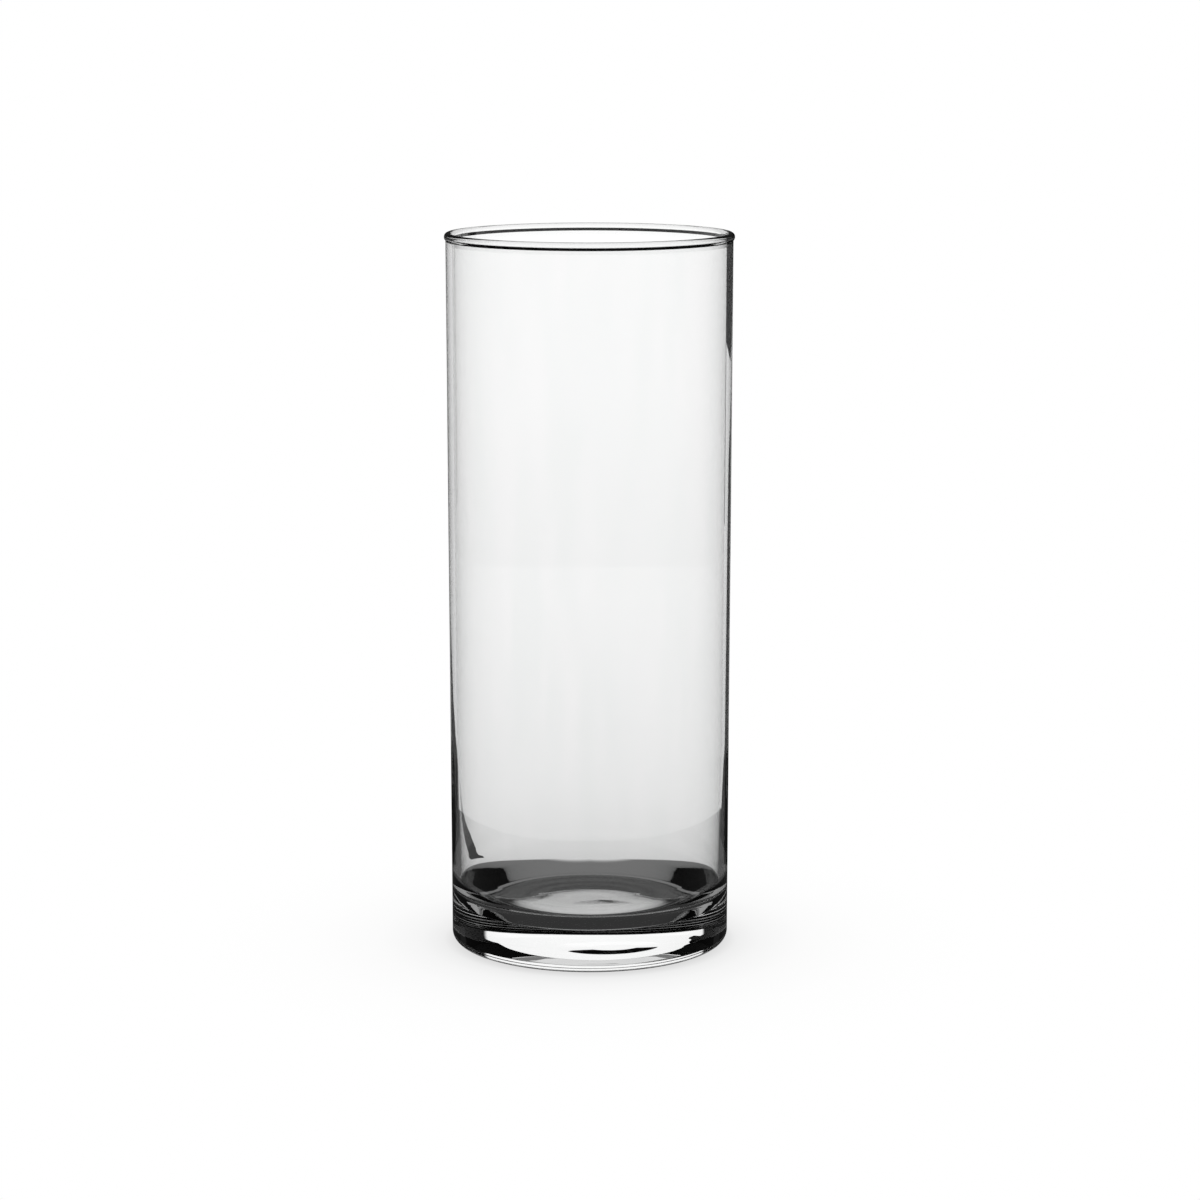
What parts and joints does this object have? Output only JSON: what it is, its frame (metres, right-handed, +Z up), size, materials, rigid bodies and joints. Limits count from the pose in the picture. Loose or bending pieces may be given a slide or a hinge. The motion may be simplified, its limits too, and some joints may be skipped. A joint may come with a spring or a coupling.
{
  "type": "glass cylinder vase",
  "caption": "Tall clear glass cylinder vase with a rounded rim bead, thin wall, thick solid base and a hollowed underside.",
  "frame": {"origin": "centre of the standing ring under the base, on the table", "axes": "+Z up along the vase's axis of symmetry, from the base to the rim; X and Y are interchangeable"},
  "size_m": [0.1, 0.1, 0.25],
  "materials": {
    "clear_glass": "polished"
  },
  "bodies": {
    "root": {"rim": "clear_glass", "wall": "clear_glass", "base": "clear_glass"}
  },
  "joints": []
}
